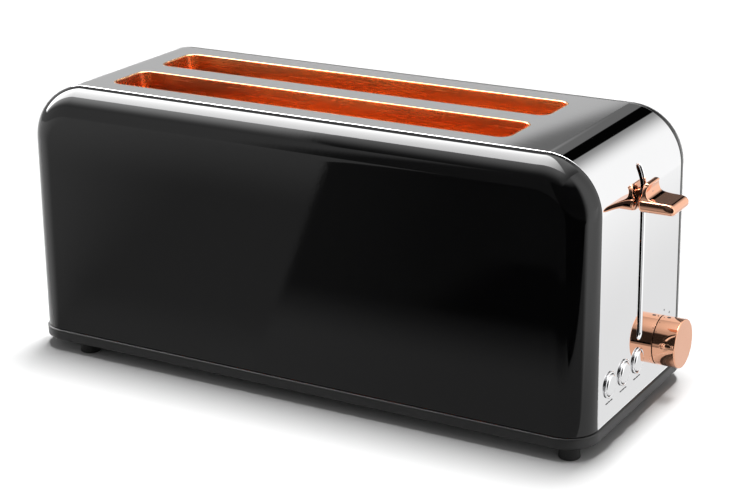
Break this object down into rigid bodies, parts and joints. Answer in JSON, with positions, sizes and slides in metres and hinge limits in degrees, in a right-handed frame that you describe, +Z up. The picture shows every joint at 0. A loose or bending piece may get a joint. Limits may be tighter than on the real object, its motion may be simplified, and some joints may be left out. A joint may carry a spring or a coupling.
{
  "type": "pop up toaster",
  "caption": "Pop up toaster with long bread slots, a carriage lever, a round browning knob and push buttons on one end, and a polished wrap between dark covers.",
  "frame": {"origin": "middle of the bounding box on the surface the feet stand on", "axes": "+X along the toaster towards the lever and knob, +Y towards the rear cover, +Z up"},
  "size_m": [0.4324, 0.162, 0.18],
  "materials": {
    "black_enamel": "high gloss",
    "mirror_steel": "mirror polish",
    "chrome_trim": "bright chrome plate",
    "plain_steel": "mill finish, zinc plated",
    "rack_steel": "nickel plated wire, heat tinted",
    "reflector_steel": "bright sheet, heat tinted",
    "satin_black": "satin moulded",
    "black_rubber": "matt",
    "copper": "polished rose copper plate",
    "mica": "layered mica sheet",
    "nichrome": "flat ribbon, glowing when hot",
    "circuit_green": "solder mask",
    "magnet_wire": "enamelled winding"
  },
  "bodies": {
    "chassis": {"base_tray": "satin_black", "polished_wrap": "mirror_steel", "side_panel_front": "black_enamel", "side_panel_rear": "black_enamel", "slot_liner_front": "mirror_steel", "slot_liner_rear": "mirror_steel", "cord_gland": "satin_black", "end_plate_far": "plain_steel", "end_plate_control": "plain_steel", "reflector_front": "reflector_steel", "reflector_rear": "reflector_steel", "guide_rod": "plain_steel", "frame_bridge": "plain_steel", "lift_spring": "plain_steel", "magnet_core": "plain_steel", "magnet_coil": "magnet_wire", "control_board": "circuit_green", "power_relay": "satin_black", "potentiometer": "plain_steel", "foot_1": "black_rubber", "foot_screw_1": "plain_steel", "foot_2": "black_rubber", "foot_screw_2": "plain_steel", "foot_3": "black_rubber", "foot_screw_3": "plain_steel", "foot_4": "black_rubber", "foot_screw_4": "plain_steel", "heater_card_front_outer": "mica", "heating_element_front_outer": "nichrome", "heater_card_front_inner": "mica", "heating_element_front_inner": "nichrome", "heater_card_rear_outer": "mica", "heating_element_rear_outer": "nichrome", "heater_card_rear_inner": "mica", "heating_element_rear_inner": "nichrome", "button_switch_1": "satin_black", "button_bezel_1": "chrome_trim", "button_switch_2": "satin_black", "button_bezel_2": "chrome_trim", "button_switch_3": "satin_black", "button_bezel_3": "chrome_trim"},
    "carriage": {"carriage_bracket": "plain_steel", "bread_rack_front": "rack_steel", "bread_rack_rear": "rack_steel", "lever_arm": "plain_steel", "lever_handle": "copper", "armature_plate": "plain_steel"},
    "browning_control": {"browning_knob": "copper", "knob_shaft": "plain_steel"},
    "button_1": {"button_cap_1": "chrome_trim"},
    "button_2": {"button_cap_2": "chrome_trim"},
    "button_3": {"button_cap_3": "chrome_trim"},
    "crumb_drawer": {"crumb_tray": "plain_steel", "crumb_tray_handle": "satin_black"},
    "guard_front_outer": {"bread_guard_front_outer": "rack_steel"},
    "guard_front_inner": {"bread_guard_front_inner": "rack_steel"},
    "guard_rear_outer": {"bread_guard_rear_outer": "rack_steel"},
    "guard_rear_inner": {"bread_guard_rear_inner": "rack_steel"}
  },
  "joints": [
    {"name": "carriage_slide", "type": "slide", "parent": "chassis", "child": "carriage", "axis": [0, 0, 1], "range_m": [-0.082, 0.011], "stiffness_N_per_m": 120, "springref_m": 0.0138, "deforming": ["lift_spring"]},
    {"name": "knob_turn", "type": "hinge", "parent": "chassis", "child": "browning_control", "pos_m": [0.1911, 0.036, 0.0382], "axis": [1, 0, 0], "range_deg": [-108, 162]},
    {"name": "button_1_press", "type": "slide", "parent": "chassis", "child": "button_1", "axis": [-1, 0, 0], "range_m": [0, 0.0015], "stiffness_N_per_m": 400},
    {"name": "button_2_press", "type": "slide", "parent": "chassis", "child": "button_2", "axis": [-1, 0, 0], "range_m": [0, 0.0015], "stiffness_N_per_m": 400},
    {"name": "button_3_press", "type": "slide", "parent": "chassis", "child": "button_3", "axis": [-1, 0, 0], "range_m": [0, 0.0015], "stiffness_N_per_m": 400},
    {"name": "crumb_tray_slide", "type": "slide", "parent": "chassis", "child": "crumb_drawer", "axis": [-1, 0, 0], "range_m": [0, 0.3]},
    {"name": "guard_front_outer_swing", "type": "hinge", "parent": "chassis", "child": "guard_front_outer", "pos_m": [-0.0204, -0.0437, 0.024], "axis": [1, 0, 0], "range_deg": [-4.1, 0.6]},
    {"name": "guard_front_inner_swing", "type": "hinge", "parent": "chassis", "child": "guard_front_inner", "pos_m": [-0.0204, -0.0107, 0.024], "axis": [1, 0, 0], "range_deg": [-0.6, 4.1]},
    {"name": "guard_rear_outer_swing", "type": "hinge", "parent": "chassis", "child": "guard_rear_outer", "pos_m": [-0.0204, 0.0437, 0.024], "axis": [1, 0, 0], "range_deg": [-0.6, 4.1]},
    {"name": "guard_rear_inner_swing", "type": "hinge", "parent": "chassis", "child": "guard_rear_inner", "pos_m": [-0.0204, 0.0107, 0.024], "axis": [1, 0, 0], "range_deg": [-4.1, 0.6]}
  ],
  "couplings": [
    {"joint": "guard_front_outer_swing", "follows": "carriage_slide", "rad_per_m": 0.851},
    {"joint": "guard_front_inner_swing", "follows": "carriage_slide", "rad_per_m": -0.851},
    {"joint": "guard_rear_outer_swing", "follows": "carriage_slide", "rad_per_m": -0.851},
    {"joint": "guard_rear_inner_swing", "follows": "carriage_slide", "rad_per_m": 0.851}
  ]
}
